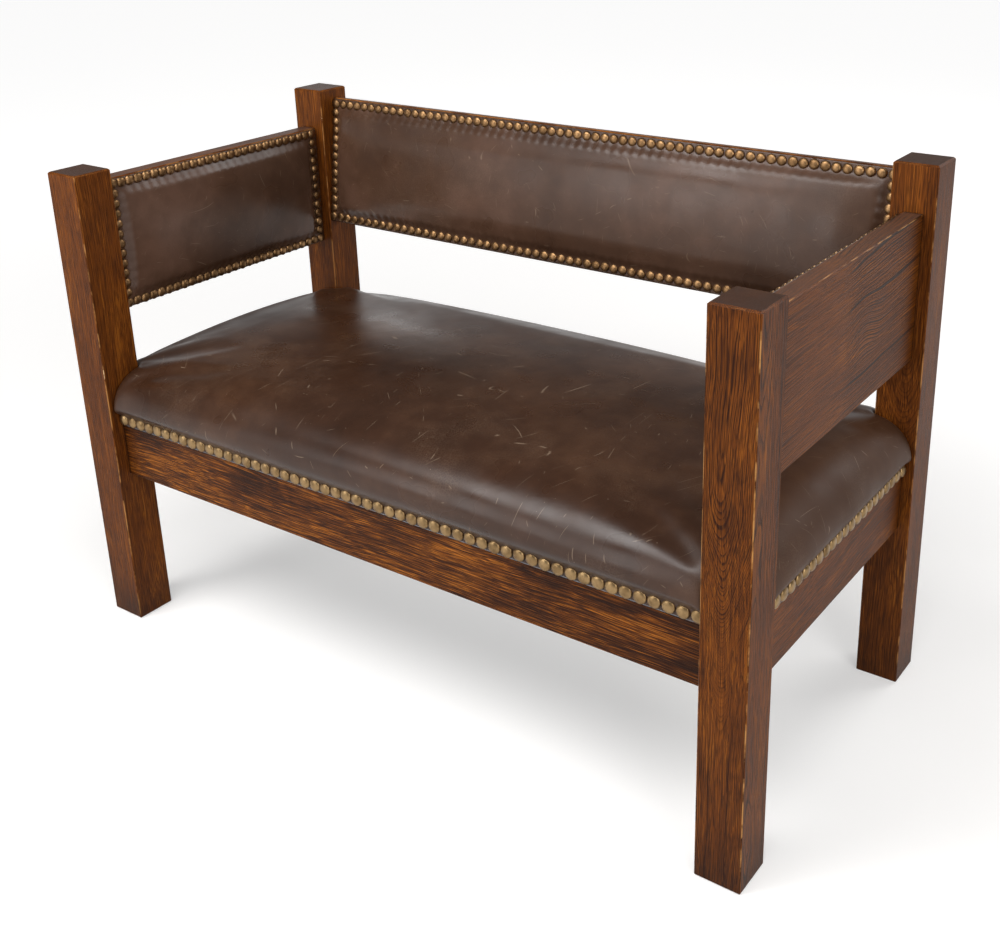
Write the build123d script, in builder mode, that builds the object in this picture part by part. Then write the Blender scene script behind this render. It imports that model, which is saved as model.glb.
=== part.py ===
from build123d import *
import math
import os

os.makedirs("parts", exist_ok=True)

# A mission settle in oak and leather. Millimetres, +Z up, -Y to the front, +X to the right seen from there.
# The origin is on the floor, under the middle of the outline of the four posts.

# Overall sizes
settle_width = 1288
settle_depth = 628
front_post_height = 822
back_post_height = 873

# Posts
post_width = 70
post_arris = 1.5
post_top_bevel = 3
post_foot_bevel = 2.5

# Seat rails
rail_bottom = 285
rail_height = 140
rail_thickness = 25
front_rail_setback = 22
side_rail_setback = 18
rail_arris = 1.5
rail_top_bevel = 5

# Stub tenons and their mortises
tenon_length = 28
tenon_shoulder = 15
rail_tenon_thickness = 10
board_tenon_thickness = 12
mortise_play = 0.2
mortise_end_play = 1

# Cross rail at mid width, its top edge hollowed clear of the webbing
cross_rail_thickness = 25
cross_rail_height = 70
cross_rail_drop = 12
cross_rail_hollow = 14
cross_tenon_length = 10
cross_tenon_shoulder = 18

# Corner blocks, notched round the posts, with a flat ear at each end for a screw
block_leg = 92
block_height = 34
block_drop = 30
ear_length = 28
ear_thickness = 26

# Wood screws, two in each corner block
screw_diameter = 4
screw_head_diameter = 8
screw_head_height = 3
screw_head_top_share = 0.5
screw_tip = 6
screw_grip = 18
screw_play = 0.2

# Arm boards, from over the seat to just under the tops of the front posts
arm_board_bottom = 572
arm_drop = 22
arm_board_thickness = 31
arm_setback = 18
board_arris = 2

# Back board, leaning back, from over the seat to just under the tops of the back posts
back_board_bottom = 615
back_board_drop = 18
back_board_thickness = 22
back_board_setback = 4
back_lean = 7.9

# Padding and leather on the arm boards and the back board
panel_leather = 2
cover_margin = 1.5
pad_margin = 21
pad_edge = 4
arm_pad_rise = 11
back_pad_rise = 15
pad_end_run = 70
pad_end_lift = 2
soft_play = 0.3

# Webbing, burlap and dust cover
band_width = 50
band_thickness = 2
band_play = 0.15
band_end_margin = 6
crossing_margin = 3
lengthwise_count = 5
crosswise_count = 11
burlap_thickness = 1.5
burlap_margin = 4
dust_cover_thickness = 1
dust_cover_margin = 6

# Crowned seat: leather skirts nailed to the rails, bulging sides, a soft shoulder and a curved top
seat_leather = 2.5
skirt_reach = 41
nail_band = 14
bulge_rise = 34
front_bulge = 14
side_bulge = 12
shoulder_radius = 34
seat_end_rise = 20
seat_front_rise = 18
end_crown_lift = 0.5
lip_reach = 17
post_play = 0.5

# One overrun for all cuts
overrun = 10

# Places worked out from the sizes above
half_width = settle_width / 2
half_depth = settle_depth / 2
post_x = half_width - post_width / 2
post_y = half_depth - post_width / 2
inner_x = half_width - post_width
inner_y = half_depth - post_width
front_face = half_depth - front_rail_setback
side_face = half_width - side_rail_setback
front_inside = front_face - rail_thickness
side_inside = side_face - rail_thickness
rail_top = rail_bottom + rail_height
rail_z = rail_bottom + rail_height / 2
rail_tenon_height = rail_height - 2 * tenon_shoulder
cross_rail_z = rail_top - cross_rail_drop - cross_rail_height / 2
cross_tenon_height = cross_rail_height - 2 * cross_tenon_shoulder
arm_board_height = front_post_height - arm_drop - arm_board_bottom
arm_z = arm_board_bottom + arm_board_height / 2
arm_x = half_width - arm_setback - arm_board_thickness / 2
arm_tenon_height = arm_board_height - 2 * tenon_shoulder
skirt_bottom = rail_top - skirt_reach
skirt_top = skirt_bottom + nail_band
bulge_height = skirt_top + bulge_rise
seat_top = bulge_height + shoulder_radius + seat_end_rise + seat_front_rise
band_step = band_thickness + band_play
burlap_bottom = rail_top + band_step + band_thickness + band_play
deck_top = burlap_bottom + burlap_thickness

# The arm board's upholstered face: x runs back along the board, y up, z to the sitter
arm_face = Plane(
    origin=(-arm_x + arm_board_thickness / 2, 0, arm_z),
    x_dir=(0, 1, 0),
    z_dir=(1, 0, 0),
)

# The back board's upholstered face: x runs along the board, y up, z to the sitter
lean = math.radians(back_lean)
back_up = Vector(0, math.sin(lean), math.cos(lean))
back_foot = Vector(0, inner_y + back_board_setback, back_board_bottom)
back_board_height = (back_post_height - back_board_drop - back_board_bottom) / math.cos(lean)
back_tenon_height = back_board_height - 2 * tenon_shoulder
back_face = Plane(
    origin=back_foot + back_up * (back_board_height / 2),
    x_dir=(1, 0, 0),
    z_dir=(0, -math.cos(lean), math.sin(lean)),
)


def write(piece, name):
    """Label the finished piece and write its file."""
    piece.part.label = name
    export_step(piece.part, f"parts/{name}.step")


def mirrored(piece, plane):
    """The same piece on the other side of the settle."""
    with BuildPart() as other:
        mirror(piece.part, about=plane)
    return other


# Posts


def plain_post(y, height):
    """Left post with eased arrises, a bevelled top and a bevelled foot."""
    with BuildPart() as post:
        with BuildSketch():
            with Locations((-post_x, y)):
                Rectangle(post_width, post_width)
        extrude(amount=height)
        chamfer(post.faces().sort_by(Axis.Z)[-1].edges(), length=post_top_bevel)
        chamfer(post.faces().sort_by(Axis.Z)[0].edges(), length=post_foot_bevel)
        chamfer(post.edges().filter_by(Axis.Z), length=post_arris)
    return post.part


def cut_mortise(place, size_x, size_y, size_z):
    """Box cut for a tenon of these sizes, with play all round, at a location."""
    with Locations(place):
        Box(
            size_x + 2 * mortise_play,
            size_y + 2 * mortise_play,
            size_z + 2 * mortise_play,
            mode=Mode.SUBTRACT,
        )


def cut_side_mortises(direction):
    """Mortises of the side rail and the arm board, from the post's inner face in a direction along Y."""
    depth = tenon_length + mortise_end_play
    y = direction * (inner_y + depth / 2)
    rail_x = -side_face + rail_thickness / 2
    cut_mortise((rail_x, y, rail_z), rail_tenon_thickness, depth, rail_tenon_height)
    cut_mortise((-arm_x, y, arm_z), board_tenon_thickness, depth, arm_tenon_height)


def cut_long_rail_mortise(direction):
    """Mortise of the front or back rail, in the post's face that looks along the settle."""
    depth = tenon_length + mortise_end_play
    y = direction * (front_face - rail_thickness / 2)
    cut_mortise((-inner_x - depth / 2, y, rail_z), depth, rail_tenon_thickness, rail_tenon_height)


def cut_back_board_mortise():
    """Leaning mortise of the back board."""
    depth = tenon_length + mortise_end_play
    middle = back_face.offset(-back_board_thickness / 2).location
    place = middle * Location((-inner_x - depth / 2, 0, 0))
    cut_mortise(place, depth, back_tenon_height, board_tenon_thickness)


with BuildPart() as front_left_post:
    add(plain_post(-post_y, front_post_height))
    cut_side_mortises(-1)
    cut_long_rail_mortise(-1)

with BuildPart() as back_left_post:
    add(plain_post(post_y, back_post_height))
    cut_side_mortises(1)
    cut_long_rail_mortise(1)
    cut_back_board_mortise()

front_right_post = mirrored(front_left_post, Plane.YZ)
back_right_post = mirrored(back_left_post, Plane.YZ)


# Wood screws: where each one's head seats, with z driving into the rail

block_z = rail_top - block_drop - block_height / 2
block_end_x = -side_inside + block_leg
block_end_y = -front_inside + block_leg
ear_face_x = -side_inside + ear_thickness
ear_face_y = -front_inside + ear_thickness
screw_x = block_end_x - ear_length / 2
screw_y = block_end_y - ear_length / 2
pilot_radius = screw_diameter / 2 + screw_play

screw_seats = [
    Plane(origin=(screw_x, ear_face_y, block_z), x_dir=(1, 0, 0), z_dir=(0, -1, 0)),
    Plane(origin=(ear_face_x, screw_y, block_z), x_dir=(0, 1, 0), z_dir=(-1, 0, 0)),
]

# Corner blocks

with BuildPart() as front_left_corner_block:
    with BuildSketch(Plane.XY.offset(block_z - block_height / 2)):
        with BuildLine():
            Polyline(
                (-inner_x, -front_inside),
                (block_end_x, -front_inside),
                (block_end_x, ear_face_y),
                (block_end_x - ear_length, ear_face_y),
                (ear_face_x, block_end_y - ear_length),
                (ear_face_x, block_end_y),
                (-side_inside, block_end_y),
                (-side_inside, -inner_y),
                (-inner_x, -inner_y),
                close=True,
            )
        make_face()
    extrude(amount=block_height)
    for seat in screw_seats:
        with BuildSketch(seat):
            Circle(pilot_radius)
        extrude(amount=ear_thickness, mode=Mode.SUBTRACT)

back_left_corner_block = mirrored(front_left_corner_block, Plane.XZ)
front_right_corner_block = mirrored(front_left_corner_block, Plane.YZ)
back_right_corner_block = mirrored(back_left_corner_block, Plane.YZ)

with BuildPart() as corner_block_screws:
    for seat in screw_seats:
        radial = Plane(origin=seat.origin, x_dir=seat.x_dir, z_dir=seat.z_dir.cross(seat.x_dir))
        with BuildSketch(radial):
            with BuildLine():
                Polyline(
                    (0, screw_head_height),
                    (screw_head_diameter * screw_head_top_share / 2, screw_head_height),
                    (screw_head_diameter / 2, 0),
                    (screw_diameter / 2, 0),
                    (screw_diameter / 2, screw_tip - ear_thickness - screw_grip),
                    (0, -ear_thickness - screw_grip),
                    close=True,
                )
            make_face()
        revolve(axis=Axis(seat.origin, seat.z_dir))
    mirror(about=Plane.XZ)
    mirror(about=Plane.YZ)


# Seat rails

with BuildPart() as front_seat_rail:
    with BuildSketch(Plane.YZ):
        with Locations((-front_face + rail_thickness / 2, rail_z)):
            Rectangle(rail_thickness, rail_height)
    extrude(amount=inner_x, both=True)
    long_edges = front_seat_rail.edges().filter_by(Axis.X)
    outer_top = long_edges.group_by(Axis.Z)[-1].sort_by(Axis.Y)[0]
    chamfer(long_edges.group_by(Axis.Z)[0], length=rail_arris)
    chamfer(outer_top, length=rail_top_bevel)
    with BuildSketch(Plane.YZ):
        with Locations((-front_face + rail_thickness / 2, rail_z)):
            Rectangle(rail_tenon_thickness, rail_tenon_height)
    extrude(amount=inner_x + tenon_length, both=True)
    with BuildSketch(Plane.XZ.offset(front_inside)):
        with Locations((screw_x, block_z), (-screw_x, block_z)):
            Circle(pilot_radius)
    extrude(amount=screw_grip + screw_play, mode=Mode.SUBTRACT)
    cut_mortise(
        (0, -front_inside - cross_tenon_length / 2, cross_rail_z),
        rail_tenon_thickness,
        cross_tenon_length,
        cross_tenon_height,
    )

back_seat_rail = mirrored(front_seat_rail, Plane.XZ)

with BuildPart() as left_seat_rail:
    with BuildSketch(Plane.XZ):
        with Locations((-side_face + rail_thickness / 2, rail_z)):
            Rectangle(rail_thickness, rail_height)
    extrude(amount=inner_y, both=True)
    long_edges = left_seat_rail.edges().filter_by(Axis.Y)
    outer_top = long_edges.group_by(Axis.Z)[-1].sort_by(Axis.X)[0]
    chamfer(long_edges.group_by(Axis.Z)[0], length=rail_arris)
    chamfer(outer_top, length=rail_top_bevel)
    with BuildSketch(Plane.XZ):
        with Locations((-side_face + rail_thickness / 2, rail_z)):
            Rectangle(rail_tenon_thickness, rail_tenon_height)
    extrude(amount=inner_y + tenon_length, both=True)
    with BuildSketch(Plane.YZ.offset(-side_inside)):
        with Locations((screw_y, block_z), (-screw_y, block_z)):
            Circle(pilot_radius)
    extrude(amount=-screw_grip - screw_play, mode=Mode.SUBTRACT)

right_seat_rail = mirrored(left_seat_rail, Plane.YZ)

with BuildPart() as seat_cross_rail:
    with BuildSketch(Plane.YZ):
        with BuildLine():
            cross_top = cross_rail_z + cross_rail_height / 2
            cross_bottom = cross_rail_z - cross_rail_height / 2
            ThreePointArc(
                (-front_inside, cross_top),
                (0, cross_top - cross_rail_hollow),
                (front_inside, cross_top),
            )
            Polyline(
                (front_inside, cross_top),
                (front_inside, cross_bottom),
                (-front_inside, cross_bottom),
                (-front_inside, cross_top),
            )
        make_face()
    extrude(amount=cross_rail_thickness / 2, both=True)
    with BuildSketch(Plane.YZ):
        with Locations((0, cross_rail_z)):
            Rectangle(2 * (front_inside + cross_tenon_length), cross_tenon_height)
    extrude(amount=rail_tenon_thickness / 2, both=True)


# Arm boards and back board

with BuildPart() as left_arm_board:
    with BuildSketch(arm_face):
        Rectangle(2 * inner_y, arm_board_height)
    extrude(amount=-arm_board_thickness)
    chamfer(left_arm_board.edges().filter_by(Axis.Y), length=board_arris)
    with BuildSketch(arm_face.offset(-arm_board_thickness / 2)):
        Rectangle(2 * (inner_y + tenon_length), arm_tenon_height)
    extrude(amount=board_tenon_thickness / 2, both=True)

right_arm_board = mirrored(left_arm_board, Plane.YZ)

with BuildPart() as back_board:
    with BuildSketch(back_face):
        Rectangle(2 * inner_x, back_board_height)
    extrude(amount=-back_board_thickness)
    chamfer(back_board.edges().filter_by(Axis.X), length=board_arris)
    with BuildSketch(back_face.offset(-back_board_thickness / 2)):
        Rectangle(2 * (inner_x + tenon_length), back_tenon_height)
    extrude(amount=board_tenon_thickness / 2, both=True)


# Padding and leather of the arms and the back


def crowned_panel(face, length, height, edge, rise):
    """Padded form on a face: curved across its height and drawn in towards both ends."""
    across = Plane(origin=face.origin, x_dir=face.y_dir, z_dir=face.x_dir)
    along = Plane(origin=face.origin, x_dir=face.x_dir, z_dir=-face.y_dir)
    top = edge + rise
    with BuildPart() as form:
        with BuildSketch(across):
            with BuildLine():
                ThreePointArc((-height / 2, edge), (0, top), (height / 2, edge))
                Polyline((height / 2, edge), (height / 2, 0), (-height / 2, 0), (-height / 2, edge))
            make_face()
        extrude(amount=length / 2, both=True)
        with BuildSketch(along):
            with BuildLine():
                flat_end = length / 2 - pad_end_run
                over = top + pad_end_lift
                Line((-flat_end, over), (flat_end, over))
                TangentArc((flat_end, over), (length / 2, edge), tangent=(1, 0))
                Polyline((length / 2, edge), (length / 2, 0), (-length / 2, 0), (-length / 2, edge))
                TangentArc((-flat_end, over), (-length / 2, edge), tangent=(-1, 0))
            make_face()
        extrude(amount=height / 2, both=True, mode=Mode.INTERSECT)
    return form.part


def panel_padding(board_face, board_length, board_height, rise):
    """Padding on a board, inside the line of nails."""
    return crowned_panel(
        board_face.offset(soft_play),
        board_length - 2 * pad_margin,
        board_height - 2 * pad_margin,
        pad_edge,
        rise,
    )


def panel_cover(board_face, board_length, board_height, rise):
    """Leather over the padding, with a flat margin for the nails."""
    laid = board_face.offset(soft_play)
    length = board_length - 2 * pad_margin
    height = board_height - 2 * pad_margin
    with BuildPart() as cover:
        with BuildSketch(laid):
            Rectangle(board_length - 2 * cover_margin, board_height - 2 * cover_margin)
        extrude(amount=panel_leather)
        for gap, mode in ((soft_play + panel_leather, Mode.ADD), (soft_play, Mode.SUBTRACT)):
            form = crowned_panel(laid, length + 2 * gap, height + 2 * gap, pad_edge + gap, rise)
            add(form, mode=mode)
    return cover


with BuildPart() as left_arm_padding:
    add(panel_padding(arm_face, 2 * inner_y, arm_board_height, arm_pad_rise))
right_arm_padding = mirrored(left_arm_padding, Plane.YZ)

left_arm_leather = panel_cover(arm_face, 2 * inner_y, arm_board_height, arm_pad_rise)
right_arm_leather = mirrored(left_arm_leather, Plane.YZ)

with BuildPart() as back_padding:
    add(panel_padding(back_face, 2 * inner_x, back_board_height, back_pad_rise))

back_leather = panel_cover(back_face, 2 * inner_x, back_board_height, back_pad_rise)


# Seat webbing, each band over one crossing band and under the next


def places(count, span):
    """Middles of equal shares of a span, about its middle."""
    return [(i + 0.5) / count * span - span / 2 for i in range(count)]


def band_outline(rail_inside, band_end, crossings, first_is_over):
    """Edge of a band: flat on the rails, and raised wherever it goes over a crossing band."""
    flat = band_width / 2 + crossing_margin
    under = [(-band_end, rail_top), (-rail_inside, rail_top)]
    over = first_is_over
    for place in crossings:
        level = rail_top + band_step if over else rail_top
        under += [(place - flat, level), (place + flat, level)]
        over = not over
    under += [(rail_inside, rail_top), (band_end, rail_top)]
    return under + [(along, level + band_thickness) for along, level in reversed(under)]


lengthwise_places = places(lengthwise_count, 2 * front_inside)
crosswise_places = places(crosswise_count, 2 * side_inside)

with BuildPart() as lengthwise_webbing:
    for i, y in enumerate(lengthwise_places):
        with BuildSketch(Plane.XZ.offset(-y)):
            with BuildLine():
                outline = band_outline(
                    side_inside, side_face - band_end_margin, crosswise_places, i % 2 == 0
                )
                Polyline(*outline, close=True)
            make_face()
        extrude(amount=band_width / 2, both=True)

with BuildPart() as crosswise_webbing:
    for i, x in enumerate(crosswise_places):
        with BuildSketch(Plane.YZ.offset(x)):
            with BuildLine():
                outline = band_outline(
                    front_inside, front_face - band_end_margin, lengthwise_places, i % 2 == 1
                )
                Polyline(*outline, close=True)
            make_face()
        extrude(amount=band_width / 2, both=True)


# Burlap over the webbing and dust cover under the rails


def notched_sheet(margin, bottom, thickness):
    """Flat sheet inside the rails' outer faces by a margin, cut out round the posts."""
    with BuildPart() as sheet:
        with BuildSketch(Plane.XY.offset(bottom)):
            Rectangle(2 * (side_face - margin), 2 * (front_face - margin))
            with GridLocations(2 * post_x, 2 * post_y, 2, 2):
                Rectangle(post_width + 2 * post_play, post_width + 2 * post_play, mode=Mode.SUBTRACT)
        extrude(amount=thickness)
    return sheet


seat_burlap = notched_sheet(burlap_margin, burlap_bottom, burlap_thickness)
dust_cover = notched_sheet(dust_cover_margin, rail_bottom - dust_cover_thickness, dust_cover_thickness)


# Crowned seat


def side_profile(plane, face, bulge):
    """Section of the seat between two opposite rails: upright skirt, bulging side, then upright."""
    widest = face + bulge
    with BuildSketch(plane) as section:
        with BuildLine():
            Polyline((-face, skirt_top), (-face, skirt_bottom), (face, skirt_bottom), (face, skirt_top))
            for side in (-1, 1):
                TangentArc((side * widest, bulge_height), (side * face, skirt_top), tangent=(0, -1))
            Polyline(
                (-widest, bulge_height),
                (-widest, seat_top + overrun),
                (widest, seat_top + overrun),
                (widest, bulge_height),
            )
        make_face()
    return section.sketch


def top_profile(plane, reach, rise, top, shoulder):
    """Section of the seat's top: an arc that rises to its middle, with a round shoulder at each end."""
    rim = top - rise
    with BuildSketch(plane) as section:
        with BuildLine():
            ThreePointArc((-reach, rim), (0, top), (reach, rim))
            Polyline((reach, rim), (reach, rail_bottom), (-reach, rail_bottom), (-reach, rim))
        make_face()
        fillet(section.vertices().group_by(Axis.Y)[-1], radius=shoulder)
    return section.sketch


def arc_radius(reach, rise):
    """Radius of an arc that rises by this much over half its width."""
    return (reach**2 + rise**2) / (2 * rise)


def seat_form(inset, notch_play):
    """The seat's closed form, inset from the leather's outside, cut out round the posts with some play."""
    skin = soft_play + seat_leather - inset
    top = seat_top - inset
    shoulder = shoulder_radius - inset
    reach_x = side_face + skin + side_bulge
    reach_y = front_face + skin + front_bulge
    depth_section = side_profile(Plane.YZ, front_face + skin, front_bulge)
    width_section = side_profile(Plane.XZ, side_face + skin, side_bulge)
    depth_top = top_profile(Plane.YZ, reach_y, seat_front_rise, top, shoulder)
    width_top = top_profile(Plane.XZ, reach_x, seat_end_rise, top + end_crown_lift, shoulder)
    long_arc_z = top - arc_radius(reach_x, seat_end_rise)
    short_arc_z = top - arc_radius(reach_y, seat_front_rise)
    notch = post_width + overrun
    notch_x = inner_x - notch_play + notch / 2
    notch_y = inner_y - notch_play + notch / 2
    upright = (Align.CENTER, Align.CENTER, Align.MIN)
    with BuildPart() as form:
        extrude(depth_section, amount=half_width, both=True)
        extrude(width_section, amount=half_depth, both=True, mode=Mode.INTERSECT)
        revolve(depth_top, axis=Axis((0, 0, long_arc_z), (0, 1, 0)), mode=Mode.INTERSECT)
        revolve(width_top, axis=Axis((0, 0, short_arc_z), (1, 0, 0)), mode=Mode.INTERSECT)
        with GridLocations(2 * notch_x, 2 * notch_y, 2, 2):
            Box(notch, notch, back_post_height, align=upright, mode=Mode.SUBTRACT)
    return form.part


with BuildPart() as seat_cover:
    add(seat_form(0, post_play))
    add(seat_form(seat_leather, -overrun), mode=Mode.SUBTRACT)

with BuildPart() as seat_padding:
    add(seat_form(seat_leather + soft_play, post_play + soft_play))
    split(bisect_by=Plane.XY.offset(rail_top - lip_reach), keep=Keep.TOP)
    Box(
        2 * (side_face + soft_play),
        2 * (front_face + soft_play),
        deck_top + soft_play,
        align=(Align.CENTER, Align.CENTER, Align.MIN),
        mode=Mode.SUBTRACT,
    )


write(front_left_post, "front_left_post")
write(front_right_post, "front_right_post")
write(back_left_post, "back_left_post")
write(back_right_post, "back_right_post")
write(front_seat_rail, "front_seat_rail")
write(back_seat_rail, "back_seat_rail")
write(left_seat_rail, "left_seat_rail")
write(right_seat_rail, "right_seat_rail")
write(seat_cross_rail, "seat_cross_rail")
write(front_left_corner_block, "front_left_corner_block")
write(front_right_corner_block, "front_right_corner_block")
write(back_left_corner_block, "back_left_corner_block")
write(back_right_corner_block, "back_right_corner_block")
write(corner_block_screws, "corner_block_screws")
write(left_arm_board, "left_arm_board")
write(right_arm_board, "right_arm_board")
write(back_board, "back_board")
write(left_arm_padding, "left_arm_padding")
write(right_arm_padding, "right_arm_padding")
write(back_padding, "back_padding")
write(left_arm_leather, "left_arm_leather")
write(right_arm_leather, "right_arm_leather")
write(back_leather, "back_leather")
write(lengthwise_webbing, "lengthwise_webbing")
write(crosswise_webbing, "crosswise_webbing")
write(seat_burlap, "seat_burlap")
write(dust_cover, "dust_cover")
write(seat_cover, "seat_cover")
write(seat_padding, "seat_padding")
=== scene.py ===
import math
import random
from typing import NamedTuple

import bpy
from mathutils import Matrix, Vector


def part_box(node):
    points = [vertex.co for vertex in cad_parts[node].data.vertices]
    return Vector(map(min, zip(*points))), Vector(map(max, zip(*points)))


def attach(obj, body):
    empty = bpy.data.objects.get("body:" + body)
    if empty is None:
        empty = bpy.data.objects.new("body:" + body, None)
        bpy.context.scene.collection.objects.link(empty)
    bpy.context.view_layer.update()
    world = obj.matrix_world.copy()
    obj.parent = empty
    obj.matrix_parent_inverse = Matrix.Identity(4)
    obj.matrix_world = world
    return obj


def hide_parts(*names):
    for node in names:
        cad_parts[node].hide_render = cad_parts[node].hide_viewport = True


# A mission settle in fumed oak and brown leather, with antique brass upholstery nails.
# Metres, +Z up, -Y to the front. Lengths in this script are written in millimetres times MM.
MM = 0.001

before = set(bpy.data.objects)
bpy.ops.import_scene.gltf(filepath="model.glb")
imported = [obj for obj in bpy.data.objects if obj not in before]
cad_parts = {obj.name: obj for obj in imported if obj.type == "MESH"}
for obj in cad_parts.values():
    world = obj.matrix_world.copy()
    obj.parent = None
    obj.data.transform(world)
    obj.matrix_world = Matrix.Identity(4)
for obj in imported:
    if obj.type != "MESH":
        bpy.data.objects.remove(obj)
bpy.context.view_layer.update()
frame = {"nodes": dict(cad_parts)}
draw = random.Random(7)


def corners(board):
    """Low and high corner of a CAD node's box, to a hundredth of a millimetre."""
    return [[round(place, 5) for place in corner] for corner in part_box(board)]


# Sizes the looks share with the frame
X, Y, Z = 0, 1, 2
post_low, post_high = corners("front_right_post")
rail_low, rail_high = corners("front_seat_rail")
arm_low, arm_high = corners("right_arm_board")
post_inner_x = post_low[X]
post_inner_y = -post_high[Y]
front_rail_face = -rail_low[Y]
side_rail_face = corners("right_seat_rail")[1][X]
burlap_top = corners("seat_burlap")[1][Z]
back_post_top = corners("back_right_post")[1][Z]
tenon = rail_high[X] - post_inner_x
back_lean = math.radians(7.9)
back_board_thickness = 22 * MM
back_board_height = 242 * MM


# Colour and node helpers


def linear(hex_colour):
    """sRGB hex colour as linear RGBA."""
    channels = [int(hex_colour[i : i + 2], 16) / 255 for i in (1, 3, 5)]
    return [c / 12.92 if c <= 0.04045 else ((c + 0.055) / 1.055) ** 2.4 for c in channels] + [1]


def node(tree, kind, inputs=None, stops=None, **settings):
    """Add a node of this kind. Each input is a value, a socket, or a node whose first enabled output is
    linked. Stops are the places and colours of a colour ramp."""
    made = tree.nodes.new("ShaderNode" + kind)
    for name, value in settings.items():
        setattr(made, name, value)
    for key, value in (inputs or {}).items():
        if isinstance(value, bpy.types.Node):
            value = next(output for output in value.outputs if output.enabled)
        if isinstance(value, bpy.types.NodeSocket):
            tree.links.new(value, made.inputs[key])
        else:
            made.inputs[key].default_value = value
    if stops:
        ramp = made.color_ramp
        while len(ramp.elements) < len(stops):
            ramp.elements.new(1)
        for element, (place, colour) in zip(ramp.elements, stops):
            element.position = place
            element.color = colour if isinstance(colour, list) else (colour, colour, colour, 1)
    return made


def new_material(name):
    """Empty node material with a Principled surface."""
    material = bpy.data.materials.new(name)
    material.use_nodes = True
    tree = material.node_tree
    return material, tree, tree.nodes["Principled BSDF"]


def finish(tree, surface, colour, roughness, bump):
    """Join the colour, the roughness and the bump to the surface."""
    for name, made in (("Base Color", colour), ("Roughness", roughness), ("Normal", bump)):
        tree.links.new(next(output for output in made.outputs if output.enabled), surface.inputs[name])


# Fumed oak: white oak darkened by ammonia and waxed. The eye gets orange-brown wood with dark broken
# lines of open pores, arched where a face runs close to the heart, and arrises rubbed to a golden brown.

OAK_BLACK = linear("#231006")
OAK_DEEP = linear("#43210a")
OAK_MID = linear("#6a3810")
OAK_WARM = linear("#9c5c1c")
OAK_FLECK = linear("#b8702c")
OAK_END = linear("#33251e")
# Painted sheen: grey for the light reflected off the boards' tops
OAK_TOP_SHEEN = linear("#5c4e47")
OAK_RUBBED = linear("#c08a50")
OAK_BARE = linear("#dcb888")
# Pores and fibres, drawn two to three times as coarse as the real ones so that they show
PORE_WIDTH = 0.8 * MM
PORE_LENGTH = 15 * MM
FIBRE_WIDTH = 0.95 * MM
FIBRE_LENGTH = 45 * MM
# Sideways waver of the grain
WAVER = 24 * MM
# Stretch of a post, measured from its middle, in which the rings are arched
ARCHES = (-200 * MM, 190 * MM)
# How far a small knot pushes the rings aside
KNOT_PUSH = 14 * MM
# Levels of the pore noise between which a ring line breaks up; on the wide arm boards the lines run on
LINE_BREAKS = (0.3, 0.5)
WIDE_LINE_BREAKS = (0.15, 0.35)
# Distance from the arris over which rubbing fades out
RUBBED_WIDTH = (0.9 * MM, 1.8 * MM)
# Height up to which the feet are dark
FOOT_DARKENING = 90 * MM
GRAIN_ORDER = {"X": (Y, Z, X), "Y": (X, Z, Y), "Z": (X, Y, Z)}


class Oak(NamedTuple):
    """How one board was cut from the tree and how it has worn."""

    board: str
    grain: str  # axis that the grain runs along
    heart: tuple  # place of the tree's heart across the board, mm
    ring: float  # width of a growth ring, mm
    taper: float  # growth of the rings along the grain
    lines: float  # strength of the ring lines
    stretch: float  # length of the pores against PORE_LENGTH
    tone: float  # lighter or darker
    streaks: float  # contrast of the fibre streaks
    rubbed: float  # wear of the arrises
    swirl: tuple = None  # place and reach of a swirl round a small knot, mm


def ring_lines(tree, oak, seed, place, wavering, along, facing):
    """Dark lines of the growth rings, which are cones round the heart."""
    heart = (seed + oak.heart[0] * MM, seed + oak.heart[1] * MM, 0)
    across = node(tree, "VectorMath", {0: wavering, 1: heart}, operation="SUBTRACT")
    across = node(tree, "VectorMath", {0: across, 1: (1, 1, 0)}, operation="MULTIPLY")
    radius = node(tree, "VectorMath", {0: across}, operation="LENGTH")
    if oak.grain == "Z":
        # A post's arches lie in its middle; above and below them the lines run straight
        low, high = ARCHES
        climb = node(
            tree,
            "MapRange",
            {
                "Value": along,
                "From Min": low,
                "From Max": high,
                "To Min": low * oak.taper,
                "To Max": high * oak.taper,
            },
            interpolation_type="SMOOTHSTEP",
        )
        # Its side faces are cut to the quarter and show straight lines
        flat_sawn = node(tree, "Math", {0: facing[X]}, operation="ABSOLUTE")
        flat_sawn = node(tree, "Math", {0: flat_sawn, 1: 0.5}, operation="LESS_THAN")
        climb = node(tree, "Math", {0: climb, 1: flat_sawn}, operation="MULTIPLY")
    else:
        climb = node(tree, "Math", {0: along, 1: oak.taper}, operation="MULTIPLY")
    radius = node(tree, "Math", {0: climb, 1: radius}, operation="ADD")
    if oak.swirl:
        knot, reach = oak.swirl
        far = node(tree, "VectorMath", {0: place, 1: [k * MM for k in knot]}, operation="DISTANCE")
        push = node(
            tree,
            "MapRange",
            {"Value": far, "From Max": reach * MM, "To Min": KNOT_PUSH, "To Max": 0},
            interpolation_type="SMOOTHSTEP",
        )
        radius = node(tree, "Math", {0: radius, 1: push}, operation="ADD")
    rings = node(tree, "Math", {0: radius, 1: oak.ring * MM}, operation="DIVIDE")
    pace = node(tree, "TexNoise", {"W": rings, "Scale": 0.4, "Detail": 2}, noise_dimensions="1D")
    rings = node(tree, "Math", {0: pace, 1: 2.4, 2: rings}, operation="MULTIPLY_ADD")
    phase = node(tree, "Math", {0: rings}, operation="FRACT")
    one_line = [(0.0, 0.15), (0.1, 1.0), (0.24, 0.9), (0.5, 0.12), (1.0, 0.0)]
    return node(tree, "ValToRGB", {0: phase}, stops=one_line)


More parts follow.
